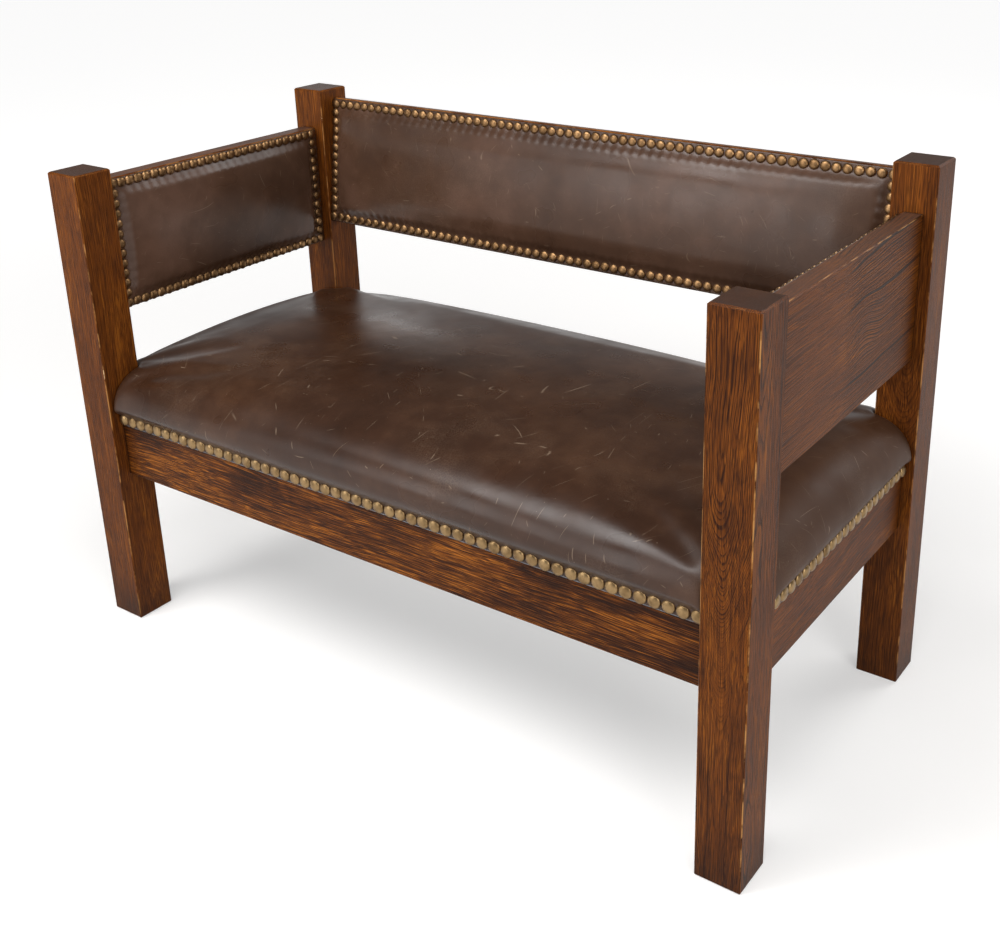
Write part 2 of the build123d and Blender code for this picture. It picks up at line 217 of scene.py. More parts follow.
def open_pores(tree, oak, wavering, along, line):
    """Dark dashes of the open pores, and the ring lines that they break up."""
    fine = (1 / PORE_WIDTH, 1 / PORE_WIDTH, 1 / (PORE_LENGTH * oak.stretch))
    pore = node(tree, "VectorMath", {0: wavering, 1: fine}, operation="MULTIPLY")
    pore = node(tree, "TexNoise", {"Vector": pore, "Scale": 0.85, "Detail": 1, "Roughness": 0.5})
    dash = node(tree, "Math", {0: line, 1: 0.1, 2: pore}, operation="MULTIPLY_ADD")
    dash = node(tree, "MapRange", {"Value": dash, "From Min": 0.54, "From Max": 0.64})
    dash = node(tree, "Math", {0: dash, 1: 0.65}, operation="MULTIPLY")
    low, high = WIDE_LINE_BREAKS if oak.board.endswith("arm_board") else LINE_BREAKS
    whole = node(
        tree, "MapRange", {"Value": pore, "From Min": low, "From Max": high, "To Max": oak.lines}
    )
    patchy = node(tree, "TexNoise", {"W": along, "Scale": 4.5, "Detail": 1}, noise_dimensions="1D")
    patchy = node(
        tree, "MapRange", {"Value": patchy, "From Min": 0.34, "From Max": 0.52, "To Min": 0.3}
    )
    band = node(tree, "Math", {0: line, 1: whole}, operation="MULTIPLY")
    band = node(tree, "Math", {0: band, 1: patchy}, operation="MULTIPLY")
    return node(tree, "Math", {0: dash, 1: band}, operation="MAXIMUM")


def stained_wood(tree, oak, flow, fibre):
    """Colour of the wood between its pores: a slow change of tone, and fibre streaks."""
    slow = node(tree, "VectorMath", {0: flow, 1: (22, 22, 5)}, operation="MULTIPLY")
    slow = node(tree, "TexNoise", {"Vector": slow, "Scale": 1, "Detail": 4, "Roughness": 0.6})
    slow = node(tree, "Math", {0: slow, 1: 0.7, 2: 0.15}, operation="MULTIPLY_ADD")
    level = node(tree, "Math", {0: fibre, 1: 1.1, 2: slow}, operation="MULTIPLY_ADD")
    level = node(tree, "Math", {0: level, 1: 1.075 - oak.tone}, operation="SUBTRACT")
    level = node(tree, "Math", {0: level, 1: oak.streaks, 2: 0.47}, operation="MULTIPLY_ADD")
    shades = [(0.1, OAK_BLACK), (0.27, OAK_DEEP), (0.47, OAK_MID), (0.7, OAK_WARM), (0.85, OAK_FLECK)]
    return node(tree, "ValToRGB", {0: level}, stops=shades)


def near_arris(tree, local, half):
    """1 on a board's arrises, 0 on its faces."""
    inside = node(tree, "VectorMath", {0: local}, operation="ABSOLUTE")
    inside = node(tree, "VectorMath", {0: half, 1: inside}, operation="SUBTRACT")
    gap = node(tree, "SeparateXYZ", {0: inside}).outputs
    # The middle one of the distances to the three pairs of faces is the distance to an arris
    small = node(tree, "Math", {0: gap[X], 1: gap[Y]}, operation="MINIMUM")
    large = node(tree, "Math", {0: gap[X], 1: gap[Y]}, operation="MAXIMUM")
    large = node(tree, "Math", {0: large, 1: gap[Z]}, operation="MINIMUM")
    arris = node(tree, "Math", {0: small, 1: large}, operation="MAXIMUM")
    low, high = RUBBED_WIDTH
    return node(
        tree, "MapRange", {"Value": arris, "From Min": low, "From Max": high, "To Min": 1, "To Max": 0}
    )


def fumed_oak(oak):
    """Material of one board: its grain and colour, then its wear, darker feet, and painted shade and sheen.
    """
    low, high = (Vector(corner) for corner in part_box(oak.board))
    centre = (low + high) / 2
    half = (high - low) / 2
    material, tree, surface = new_material("fumed_oak_" + oak.board)
    seed = draw.uniform(0, 50)
    source = node(tree, "TexCoord").outputs
    place = source["Object"]
    facing = node(tree, "SeparateXYZ", {0: source["Normal"]}).outputs
    local = node(tree, "VectorMath", {0: place, 1: centre}, operation="SUBTRACT")
    if oak.board == "back_board":
        local = node(
            tree, "VectorRotate", {"Vector": local, "Angle": back_lean}, rotation_type="X_AXIS"
        )
        half = Vector((half.x, back_board_thickness / 2, back_board_height / 2))
    axes = node(tree, "SeparateXYZ", {0: local}).outputs
    u, v, along = (axes[i] for i in GRAIN_ORDER[oak.grain])
    flow = node(tree, "CombineXYZ", {0: u, 1: v, 2: along})
    flow = node(tree, "VectorMath", {0: flow, 1: (seed, seed, seed)}, operation="ADD")

    # Slow waver of the grain, a few millimetres sideways over a hand's width
    drift = node(tree, "VectorMath", {0: flow, 1: (8, 8, 3)}, operation="MULTIPLY")
    drift = node(tree, "TexNoise", {"Vector": drift, "Scale": 1, "Detail": 3})
    drift = node(
        tree, "VectorMath", {0: drift.outputs["Color"], 1: (0.5, 0.5, 0.5)}, operation="SUBTRACT"
    )
    drift = node(tree, "VectorMath", {0: drift, 1: (WAVER, WAVER, 0)}, operation="MULTIPLY")
    wavering = node(tree, "VectorMath", {0: flow, 1: drift}, operation="ADD")

    line = ring_lines(tree, oak, seed, place, wavering, along, facing)
    dark = open_pores(tree, oak, wavering, along, line)
    thread = (1 / FIBRE_WIDTH, 1 / FIBRE_WIDTH, 1 / (FIBRE_LENGTH * oak.stretch))
    fibre = node(tree, "VectorMath", {0: wavering, 1: thread}, operation="MULTIPLY")
    fibre = node(tree, "TexNoise", {"Vector": fibre, "Scale": 0.7, "Detail": 3})
    colour = stained_wood(tree, oak, flow, fibre)
    colour = node(tree, "Mix", {0: dark, 6: colour, 7: OAK_BLACK}, data_type="RGBA")

    # End grain drinks more stain
    face = node(tree, "Math", {0: facing["XYZ".index(oak.grain)]}, operation="ABSOLUTE")
    face = node(tree, "MapRange", {"Value": face, "From Min": 0.75, "From Max": 0.95, "To Max": 0.8})
    colour = node(tree, "Mix", {0: face, 6: colour, 7: OAK_END}, data_type="RGBA")

    # Painted sheen: the tops of the boards are greyed to stand in for the light they reflect
    if oak.grain != "Z":
        top_sheen = node(
            tree, "MapRange", {"Value": facing[Z], "From Min": 0.8, "From Max": 0.95, "To Max": 0.4}
        )
        colour = node(tree, "Mix", {0: top_sheen, 6: colour, 7: OAK_TOP_SHEEN}, data_type="RGBA")

    # Rubbed and chipped arrises
    near = near_arris(tree, local, half)
    worn = node(tree, "TexNoise", {"Vector": flow, "Scale": 30, "Detail": 5})
    rub = node(
        tree, "MapRange", {"Value": worn, "From Min": 0.46, "From Max": 0.58, "To Max": oak.rubbed}
    )
    rub = node(tree, "Math", {0: rub, 1: near}, operation="MULTIPLY")
    colour = node(tree, "Mix", {0: rub, 6: colour, 7: OAK_RUBBED}, data_type="RGBA")
    chip = node(tree, "TexNoise", {"Vector": flow, "Scale": 46, "Detail": 5})
    chip = node(tree, "Math", {0: near, 1: 0.2, 2: chip}, operation="MULTIPLY_ADD")
    chip = node(tree, "MapRange", {"Value": chip, "From Min": 0.9, "From Max": 0.915})
    colour = node(tree, "Mix", {0: chip, 6: colour, 7: OAK_BARE}, data_type="RGBA")

    # Painted shade: black where a rail or board meets its posts, standing in for the shade in the gap of the
    # joint
    if oak.grain != "Z":
        to_post = half["XYZ".index(oak.grain)] - tenon
        joint_shade = node(tree, "Math", {0: along}, operation="ABSOLUTE")
        joint_shade = node(
            tree,
            "MapRange",
            {"Value": joint_shade, "From Min": to_post - 7 * MM, "From Max": to_post - 1 * MM, "To Max": 0.85},
            interpolation_type="SMOOTHSTEP",
        )
        colour = node(tree, "Mix", {0: joint_shade, 6: colour, 7: OAK_BLACK}, data_type="RGBA")

    # Feet darker towards the floor, in patches
    height = node(tree, "SeparateXYZ", {0: place}).outputs[Z]
    foot = node(tree, "MapRange", {"Value": height, "From Max": FOOT_DARKENING, "To Min": 1, "To Max": 0})
    foot = node(tree, "Math", {0: foot, 1: worn}, operation="MULTIPLY")
    colour = node(tree, "Mix", {0: foot, 6: colour, 7: OAK_BLACK}, data_type="RGBA")

    gloss = node(tree, "MapRange", {"Value": fibre, "To Min": 0.3, "To Max": 0.55})
    relief = node(tree, "Math", {0: dark, 1: -1.0, 2: fibre}, operation="MULTIPLY_ADD")
    relief = node(tree, "Math", {0: chip, 1: -2.0, 2: relief}, operation="MULTIPLY_ADD")
    bump = node(tree, "Bump", {"Height": relief, "Strength": 0.5, "Distance": 0.3 * MM})
    finish(tree, surface, colour, gloss, bump)
    surface.inputs["IOR"].default_value = 1.5
    surface.inputs["Specular IOR Level"].default_value = 0.08
    return material


def paint(board, material):
    """Give a CAD node this material in every slot."""
    for slot in frame["nodes"][board].material_slots:
        slot.material = material


OAK_BOARDS = [
    Oak(
        "front_left_post", "Z", heart=(46, 60), ring=2.0, taper=0.02,
        lines=0.35, stretch=1.6, tone=-0.03, streaks=0.65, rubbed=0.7,
    ),
    Oak(
        "front_right_post", "Z", heart=(-4, -20), ring=1.7, taper=-0.2,
        lines=1.0, stretch=1.4, tone=-0.05, streaks=0.7, rubbed=1.0,
    ),
    Oak(
        "back_left_post", "Z", heart=(60, 40), ring=2.4, taper=0.03,
        lines=0.4, stretch=1.6, tone=-0.06, streaks=0.7, rubbed=0.5,
    ),
    Oak(
        "back_right_post", "Z", heart=(10, -60), ring=2.6, taper=-0.14,
        lines=0.6, stretch=1.5, tone=-0.06, streaks=0.7, rubbed=0.8,
    ),
    Oak(
        "front_seat_rail", "X", heart=(30, 60), ring=2.8, taper=0.05,
        lines=0.75, stretch=1.3, tone=-0.05, streaks=1.75, rubbed=0.3, swirl=((-430, -292, 330), 60),
    ),
    Oak(
        "back_seat_rail", "X", heart=(-60, -40), ring=3.0, taper=0.03,
        lines=0.6, stretch=1.6, tone=0.0, streaks=1.2, rubbed=0.3,
    ),
    Oak(
        "left_seat_rail", "Y", heart=(70, 50), ring=3.0, taper=0.05,
        lines=0.6, stretch=1.6, tone=0.0, streaks=1.2, rubbed=0.3,
    ),
    Oak(
        "right_seat_rail", "Y", heart=(-80, 40), ring=3.0, taper=0.06,
        lines=0.6, stretch=1.6, tone=-0.05, streaks=0.8, rubbed=0.3,
    ),
    Oak(
        "left_arm_board", "Y", heart=(60, -90), ring=3.8, taper=0.05,
        lines=1.0, stretch=3.5, tone=-0.04, streaks=0.6, rubbed=0.5,
    ),
    Oak(
        "right_arm_board", "Y", heart=(-30, 150), ring=3.4, taper=0.05,
        lines=1.15, stretch=3.5, tone=0.0, streaks=0.5, rubbed=0.8, swirl=((626, 40, 690), 70),
    ),
    Oak(
        "back_board", "X", heart=(80, 30), ring=3.2, taper=0.04,
        lines=0.6, stretch=2.0, tone=0.0, streaks=1.2, rubbed=0.4,
    ),
]
for oak in OAK_BOARDS:
    paint(oak.board, fumed_oak(oak))


# Hidden woods, cloths and steel


def plain_finish(name, pale, dark, size, stretch, roughness, metallic=0.0):
    """Two-tone surface with streaks or mottles of one real size, for parts inside the frame."""
    material, tree, surface = new_material(name)
    place = node(tree, "TexCoord").outputs["Object"]
    scale = [s / size for s in stretch]
    scaled = node(tree, "VectorMath", {0: place, 1: scale}, operation="MULTIPLY")
    mottle = node(tree, "TexNoise", {"Vector": scaled, "Scale": 1, "Detail": 3})
    shades = [(0.3, linear(dark)), (0.7, linear(pale))]
    colour = node(tree, "ValToRGB", {0: mottle}, stops=shades)
    bump = node(tree, "Bump", {"Height": mottle, "Strength": 0.5, "Distance": 0.2 * MM})
    gloss = node(tree, "MapRange", {"Value": mottle, "To Min": roughness, "To Max": roughness + 0.1})
    finish(tree, surface, colour, gloss, bump)
    surface.inputs["Metallic"].default_value = metallic
    return material


def woven(name, pale, dark, thread, roughness):
    """Plain weave of threads this far apart, crossing over and under."""
    material, tree, surface = new_material(name)
    place = node(tree, "TexCoord").outputs["Object"]
    scale = [math.pi / thread] * 3
    turn = node(tree, "VectorMath", {0: place, 1: scale}, operation="MULTIPLY")
    waves = node(tree, "VectorMath", {0: turn}, operation="SINE")
    waves = node(tree, "SeparateXYZ", {0: waves}).outputs
    cross = node(tree, "Math", {0: waves[X], 1: waves[Y]}, operation="MULTIPLY")
    cross = node(tree, "MapRange", {"Value": cross, "From Min": -1})
    shades = [(0.2, linear(dark)), (0.8, linear(pale))]
    colour = node(tree, "ValToRGB", {0: cross}, stops=shades)
    bump = node(tree, "Bump", {"Height": cross, "Strength": 0.6, "Distance": 0.4 * MM})
    gloss = node(tree, "MapRange", {"Value": cross, "To Min": roughness, "To Max": roughness - 0.05})
    finish(tree, surface, colour, gloss, bump)
    return material


# Planed oak, never stained: pale, with streaks along the length of the cross rail
planed_oak = plain_finish("planed_oak", "#b48a5a", "#8a6238", 2 * MM, (1, 0.04, 1), 0.6)
for corner in ("front_left", "front_right", "back_left", "back_right"):
    paint(corner + "_corner_block", planed_oak)
paint("seat_cross_rail", planed_oak)
# Steel wood screws, dulled by age
dull_steel = plain_finish("dull_steel", "#9a9890", "#6a6862", 3 * MM, (1, 1, 1), 0.4, metallic=1.0)
paint("corner_block_screws", dull_steel)
# Jute webbing and burlap: coarse plain weaves
jute = woven("jute_webbing", "#b99a68", "#7d6238", 3 * MM, 0.9)
paint("lengthwise_webbing", jute)
paint("crosswise_webbing", jute)
paint("seat_burlap", woven("burlap", "#a98c60", "#6e5734", 2 * MM, 0.95))
# Black cambric: a thin glazed cotton, slightly dusty
paint("dust_cover", woven("black_cambric", "#2b2a29", "#171615", 1.2 * MM, 0.8))


# Brown leather: full-grain cowhide, dyed, waxed and worn. The eye gets a dull satin with a fine pebble,
# darker clouds, a few thin pale scratches, mostly curved, and small flecks.

# Dark, middle and worn shade of a hide
SEAT_HIDE = ("#2c1a10", "#382317", "#493122")
PANEL_HIDE = ("#38251a", "#463023", "#583f32")
HIDE_LEVELS = (0.52, 0.76, 1.0)
HIDE_UNWORN = linear("#482a12")
HIDE_SCRATCH = linear("#94806c")
HIDE_CUT = linear("#7c828a")
# Pebble of the grain, drawn a little coarse so that it shows, and meshes of the net of fine cracks
PEBBLE = 2.4 * MM
CRACK = 4 * MM
CRACK_WAVER = 9 * MM
# Directions of the scratches, radians
SCRATCH_TURNS = (0.2, 0.75, 2.1)
# Width over which the sat-on hide turns into the dull one at the ends
DULL_FADE = 60 * MM


def scratch_lines(tree, place, strength):
    """Families of fine, nearly straight lines, of which long narrow gates let a few short pieces show."""
    scratch = None
    for angle in SCRATCH_TURNS:
        turned = node(tree, "VectorRotate", {"Vector": place, "Angle": angle}, rotation_type="Z_AXIS")
        gentle = node(tree, "VectorMath", {0: turned, 1: (5, 1.6, 4)}, operation="MULTIPLY")
        gentle = node(tree, "TexNoise", {"Vector": gentle, "Scale": 1, "Detail": 0})
        lines = node(tree, "Math", {0: gentle, 1: 0.022}, operation="PINGPONG")
        lines = node(tree, "MapRange", {"Value": lines, "From Max": 0.0009, "To Min": 1, "To Max": 0})
        gate = node(tree, "VectorMath", {0: turned, 1: (95, 11, 40)}, operation="MULTIPLY")
        gate = node(tree, "TexNoise", {"Vector": gate, "Scale": 1, "Detail": 0})
        gate = node(
            tree, "MapRange", {"Value": gate, "From Min": 0.66, "From Max": 0.76, "To Max": strength}
        )
        lines = node(tree, "Math", {0: lines, 1: gate}, operation="MULTIPLY")
        if scratch:
            lines = node(tree, "Math", {0: scratch, 1: lines}, operation="MAXIMUM")
        scratch = lines
    return scratch


def crack_net(tree, place, patch, strength):
    """Net of fine cracks, where the hide has aged."""
    crack = node(
        tree,
        "VectorMath",
        {0: patch.outputs["Color"], 1: (CRACK_WAVER, CRACK_WAVER, CRACK_WAVER), 2: place},
        operation="MULTIPLY_ADD",
    )
    crack = node(tree, "TexVoronoi", {"Vector": crack, "Scale": 1 / CRACK}, feature="DISTANCE_TO_EDGE")
    crack = node(tree, "MapRange", {"Value": crack, "From Max": 0.12, "To Min": 1, "To Max": 0})
    aged = node(tree, "TexNoise", {"Vector": place, "Scale": 6, "Detail": 3})
    aged = node(
        tree, "MapRange", {"Value": aged, "From Min": 0.5, "From Max": 0.64, "To Max": strength}
    )
    return node(tree, "Math", {0: crack, 1: aged}, operation="MULTIPLY")


def brown_leather(name, seed, hide, scratches, cracks, sheen, edge=None, dull_from=None):
    """Leather. hide: its shades; scratches and cracks: their strength; sheen: specular level; edge: height
    under which the cut edge of the hide shows; dull_from: distance to either side from which the hide, never
    sat on, stays dull and a little browner."""
    material, tree, surface = new_material(name)
    source = node(tree, "TexCoord").outputs["Object"]
    axes = node(tree, "SeparateXYZ", {0: source}).outputs
    place = node(tree, "VectorMath", {0: source, 1: (seed, seed, seed)}, operation="ADD")
    cloud = node(tree, "TexNoise", {"Vector": place, "Scale": 4, "Detail": 5})
    patch = node(tree, "TexNoise", {"Vector": place, "Scale": 24, "Detail": 6, "Roughness": 0.6})
    blend = node(tree, "Math", {0: patch, 1: 0.5, 2: cloud}, operation="MULTIPLY_ADD")
    shades = [(level, linear(shade)) for level, shade in zip(HIDE_LEVELS, hide)]
    colour = node(tree, "ValToRGB", {0: blend}, stops=shades)
    polish = node(tree, "TexNoise", {"Vector": place, "Scale": 13, "Detail": 2})
    gloss = node(
        tree,
        "MapRange",
        {"Value": polish, "From Min": 0.2, "From Max": 0.8, "To Min": 0.2, "To Max": 0.42},
    )
    if dull_from:
        sideways = node(tree, "Math", {0: axes[X]}, operation="ABSOLUTE")
        dull = node(
            tree,
            "MapRange",
            {"Value": sideways, "From Min": dull_from, "From Max": dull_from + DULL_FADE},
            interpolation_type="SMOOTHSTEP",
        )
        browner = node(tree, "Math", {0: dull, 1: 0.5}, operation="MULTIPLY")
        colour = node(tree, "Mix", {0: browner, 6: colour, 7: HIDE_UNWORN}, data_type="RGBA")
        gloss = node(tree, "Math", {0: dull, 1: 0.28, 2: gloss}, operation="MULTIPLY_ADD")

    scratch = scratch_lines(tree, place, scratches)
    fleck = node(tree, "TexNoise", {"Vector": place, "Scale": 420, "Detail": 0})
    fleck = node(
        tree, "MapRange", {"Value": fleck, "From Min": 0.88, "From Max": 0.9, "To Max": scratches}
    )
    marks = node(tree, "Math", {0: scratch, 1: fleck}, operation="MAXIMUM")
    colour = node(tree, "Mix", {0: marks, 6: colour, 7: HIDE_SCRATCH}, data_type="RGBA")

    if edge:
        cut = node(
            tree,
            "MapRange",
            {"Value": axes[Z], "From Min": edge - 0.4 * MM, "From Max": edge, "To Min": 0.8, "To Max": 0},
        )
        colour = node(tree, "Mix", {0: cut, 6: colour, 7: HIDE_CUT}, data_type="RGBA")

    crack = crack_net(tree, place, patch, cracks)
    colour = node(tree, "Mix", {0: crack, 6: colour, 7: HIDE_SCRATCH}, data_type="RGBA")
    pebble = node(tree, "TexVoronoi", {"Vector": place, "Scale": 1 / PEBBLE}, feature="SMOOTH_F1")
    relief = node(tree, "Math", {0: pebble, 1: -0.35, 2: patch}, operation="MULTIPLY_ADD")
    relief = node(tree, "Math", {0: scratch, 1: -0.25, 2: relief}, operation="MULTIPLY_ADD")
    relief = node(tree, "Math", {0: crack, 1: -2.0, 2: relief}, operation="MULTIPLY_ADD")
    bump = node(tree, "Bump", {"Height": relief, "Strength": 0.34, "Distance": 0.5 * MM})
    finish(tree, surface, colour, gloss, bump)
    surface.inputs["IOR"].default_value = 1.48
    surface.inputs["Specular IOR Level"].default_value = sheen
    return material


# Antique brass: pressed sheet heads, browned by age and rubbed bright again in patches. The eye gets warm
# metal in brown and yellow, with soft highlights.


def antique_brass(name, bright, brown, roughness):
    """Brass with the browning left in patches."""
    material, tree, surface = new_material(name)
    place = node(tree, "TexCoord").outputs["Object"]
    patch = node(tree, "TexNoise", {"Vector": place, "Scale": 60, "Detail": 3})
    shades = [(0.3, linear(brown)), (0.6, linear(bright))]
    colour = node(tree, "ValToRGB", {0: patch}, stops=shades)
    gloss = node(
        tree, "MapRange", {"Value": patch, "To Min": roughness + 0.1, "To Max": roughness - 0.1}
    )
    bump = node(tree, "Bump", {"Height": patch, "Strength": 0.2, "Distance": 0.2 * MM})
    finish(tree, surface, colour, gloss, bump)
    surface.inputs["Metallic"].default_value = 1.0
    return material


# Meshes


def grid_piece(name, vertices, faces, material):
    """Mesh object in the row frame, smooth shaded, riding with the frame."""
    mesh = bpy.data.meshes.new(name)
    mesh.from_pydata(vertices, [], faces)
    mesh.validate()
    mesh.polygons.foreach_set("use_smooth", [True] * len(mesh.polygons))
    mesh.materials.append(material)
    piece = bpy.data.objects.new(name, mesh)
    bpy.context.scene.collection.objects.link(piece)
    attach(piece, "root")
    return piece


def close_skin(top_faces, below):
    """Faces of a pad from those of its top: the top, the lining, whose points follow `below` places after
    the top's, and a strip round the rim that joins them. Also the points of the rim."""
    faces = []
    edges = {}
    for ring in top_faces:
        faces.append(ring)
        faces.append([below + v for v in reversed(ring)])
        edges.update(dict.fromkeys(zip(ring, ring[1:] + ring[:1])))
    rim = [(a, b) for a, b in edges if (b, a) not in edges]
    faces += [[b, a, below + a, below + b] for a, b in rim]
    return faces, {point for edge in rim for point in edge}


# Stretched leather over padding: stiff, light and inflated, with no gravity
CLOTH_SETTINGS = {
    "quality": 4,
    "mass": 0.4,
    "tension_stiffness": 25,
    "compression_stiffness": 25,
    "shear_stiffness": 15,
    "bending_stiffness": 22,
    "use_pressure": True,
    "uniform_pressure_force": 4,
    "shrink_min": 0,
    "pin_stiffness": 1,
}
CLOTH_FRAMES = 20


def swell(piece, pins, reach, keep_out):
    """Inflate a closed pad with Cloth, held where its pins say, keep the result within reach of its start,
    and subdivide it once."""
    start = [v.co.copy() for v in piece.data.vertices]
    group = piece.vertex_groups.new(name="pins")
    for index, weight in enumerate(pins):
        group.add([index], weight, "REPLACE")
    cloth = piece.modifiers.new("cloth", "CLOTH")
    cloth.point_cache.frame_end = CLOTH_FRAMES
    for setting, value in CLOTH_SETTINGS.items():
        setattr(cloth.settings, setting, value)
    cloth.settings.vertex_group_mass = group.name
    cloth.settings.effector_weights.gravity = 0
    scene = bpy.context.scene
    for step in range(1, CLOTH_FRAMES + 1):
        scene.frame_set(step)
    solved = piece.evaluated_get(bpy.context.evaluated_depsgraph_get()).data
    ends = [v.co.copy() for v in solved.vertices]
    piece.modifiers.remove(cloth)
    piece.vertex_groups.remove(group)
    scene.frame_set(1)
    for vertex, old, new in zip(piece.data.vertices, start, ends):
        shift = new - old
        if shift.length > reach:
            shift *= reach / shift.length
        vertex.co = keep_out(old + shift, old)
    piece.data.update()
    finer = piece.modifiers.new("finer", "SUBSURF")
    finer.levels = 1
    smooth = bpy.data.meshes.new_from_object(piece.evaluated_get(bpy.context.evaluated_depsgraph_get()))
    piece.modifiers.remove(finer)
    piece.data = smooth


def smooth_rise(t):
    """0 to 1 with level ends."""
    t = min(max(t, 0), 1)
    return t * t * (3 - 2 * t)


# Seat

NAIL_CELLS = 3
front_nail_count = 53
side_nail_count = 22
clearance = 0.3 * MM
post_play = 0.6 * MM
seat_side = post_inner_x - post_play
seat_front = post_inner_y - post_play
leather = 2.5 * MM
seat_skin = clearance + leather
front_bulge = 14 * MM
side_bulge = 12 * MM
skirt_bottom = 380.5 * MM
skirt_top = 400 * MM
bulge_height = 426 * MM
shoulder = 66 * MM
seat_top = 504 * MM
end_rise = 20 * MM
front_rise = 18 * MM
deck = burlap_top + 0.5 * MM
seat_reach_x = side_rail_face + seat_skin + side_bulge
seat_reach_y = front_rail_face + seat_skin + front_bulge
# Rows of cells down a flap, those of its lining that lie on the deck, and those held under the nails
flap_rows = 20
deck_rows = 13
nail_row_number = flap_rows - 3
# How firmly the Cloth is held: free leather, the rim, and what is nailed or lies on the deck
FREE = 0.1
RIM = 0.9
HELD = 1.0
# How far the leather's cut edges beside the posts, and the cells next to them, are rounded down
EDGE_ROUNDING = (5 * MM, 1.2 * MM)


def crown_height(x, y):
    """Height of the seat's crowned top."""
    return seat_top - end_rise * (x / seat_reach_x) ** 2 - front_rise * (y / seat_reach_y) ** 2


def flap_profile(start, face, bulge, height_at):
    """Points (out, height) from the edge of the seat's middle over the shoulder and the bulge to the
    skirt's edge."""
    top_steps, shoulder_steps, side_steps, skirt_steps = 6, 12, 24, 4
    turn = face + seat_skin + bulge - shoulder
    rim = height_at(turn)
    foot = rim - shoulder
    points = []
    for i in range(top_steps + 1):
        out = start + (turn - start) * i / top_steps
        points.append((out, height_at(out)))
    for i in range(1, shoulder_steps + 1):
        angle = math.pi / 2 * i / shoulder_steps
        points.append((turn + shoulder * math.sin(angle), rim - shoulder * (1 - math.cos(angle))))
    for i in range(1, side_steps + 1):
        height = foot + (skirt_top - foot) * i / side_steps
        risen = min((height - skirt_top) / (bulge_height - skirt_top), 1)
        points.append((face + seat_skin + bulge * math.sin(math.pi / 2 * risen) ** 0.8, height))
    for i in range(1, skirt_steps + 1):
        points.append((face + seat_skin, skirt_top + (skirt_bottom - skirt_top) * i / skirt_steps))
    return points


def even_steps(points, count):
    """Points at even spacing along a path, its start left out."""
    lengths = [0]
    for a, b in zip(points, points[1:]):
        lengths.append(lengths[-1] + math.hypot(b[0] - a[0], b[1] - a[1]))
    steps = []
    k = 0
    for i in range(1, count + 1):
        goal = lengths[-1] * i / count
        while k < len(points) - 2 and lengths[k + 1] < goal:
            k += 1
        share = (goal - lengths[k]) / (lengths[k + 1] - lengths[k])
        steps.append(tuple(a + (b - a) * share for a, b in zip(points[k], points[k + 1])))
    return steps


def lining_place(row, start, face):
    """Inner side of a flap's row: along the deck to the rail's face, then down it."""
    edge = face + clearance
    if row <= deck_rows:
        return start + (edge - start) * row / deck_rows, deck
    return edge, deck + (skirt_bottom - deck) * (row - deck_rows) / (flap_rows - deck_rows)


def flap_column(number, start, face, bulge, height_at):
    """One column of a flap, row by row: row, place of the leather, place of its lining, and pin."""
    nailed = abs(number % NAIL_CELLS - NAIL_CELLS / 2) < 1
    path = flap_profile(start, face, bulge, height_at)
    for row, place in enumerate(even_steps(path, flap_rows), 1):
        held = row > nail_row_number or (row == nail_row_number and nailed)
        yield row, place, lining_place(row, start, face), HELD if held else FREE


def build_seat():
    """Leather over the crowned seat: a grid over the top and four flaps, with a lining below it."""
    columns = front_nail_count * NAIL_CELLS
    rows = side_nail_count * NAIL_CELLS
    xs = [-seat_side + 2 * seat_side * i / columns for i in range(columns + 1)]
    ys = [-seat_front + 2 * seat_front * j / rows for j in range(rows + 1)]
    outer, inner, pins = [], [], []
    index = {}

    def put(key, top, under, pin):
        index[key] = len(outer)
        outer.append(top)
        inner.append(under)
        pins.append(pin)

    for i, x in enumerate(xs):
        for j, y in enumerate(ys):
            put((i, j), (x, y, crown_height(x, y)), (x, y, deck), FREE)
    for i, x in enumerate(xs):
        for side in (-1, 1):
            column = flap_column(
                i, seat_front, front_rail_face, front_bulge, lambda out: crown_height(x, out)
            )
            for k, (out, height), (under, level), pin in column:
                j = -k if side < 0 else rows + k
                put((i, j), (x, side * out, height), (x, side * under, level), pin)
    for j, y in enumerate(ys):
        for side in (-1, 1):
            column = flap_column(
                j, seat_side, side_rail_face, side_bulge, lambda out: crown_height(out, y)
            )
            for k, (out, height), (under, level), pin in column:
                i = -k if side < 0 else columns + k
                put((i, j), (side * out, y, height), (side * under, y, level), pin)

    def sink(key, depth):
        x, y, z = outer[index[key]]
        outer[index[key]] = (x, y, max(z - depth, skirt_bottom))

    for step, depth in enumerate(EDGE_ROUNDING):
        for k in range(1, nail_row_number):
            for i in (step, columns - step):
                sink((i, -k), depth)
                sink((i, rows + k), depth)
            for j in (step, rows - step):
                sink((-k, j), depth)
                sink((columns + k, j), depth)

    top_faces = []
    for i, j in index:
        ring = [(i, j), (i + 1, j), (i + 1, j + 1), (i, j + 1)]
        if all(corner in index for corner in ring):
            top_faces.append([index[corner] for corner in ring])
    faces, rim = close_skin(top_faces, len(outer))
    for point in rim:
        pins[point] = max(pins[point], RIM)
    return outer + inner, faces, pins + [HELD] * len(inner)


def clear_of_posts(place, old):
    """Keep seat leather out of the posts."""
    if abs(place.x) > seat_side and abs(place.y) > seat_front:
        if abs(old.y) > seat_front and abs(old.x) <= seat_side + 1e-6:
            place.x = math.copysign(seat_side, place.x)
        else:
            place.y = math.copysign(seat_front, place.y)
    return place


seat_leather = brown_leather(
    "brown_leather_seat",
    3.1,
    SEAT_HIDE,
    scratches=0.55,
    cracks=0.1,
    sheen=0.32,
    edge=skirt_bottom + leather,
    dull_from=540 * MM,
)
vertices, faces, pins = build_seat()
seat = grid_piece("seat_upholstery", vertices, faces, seat_leather)
swell(seat, pins, 7 * MM, clear_of_posts)
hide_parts("seat_cover", "seat_padding")


# Back and arm pads


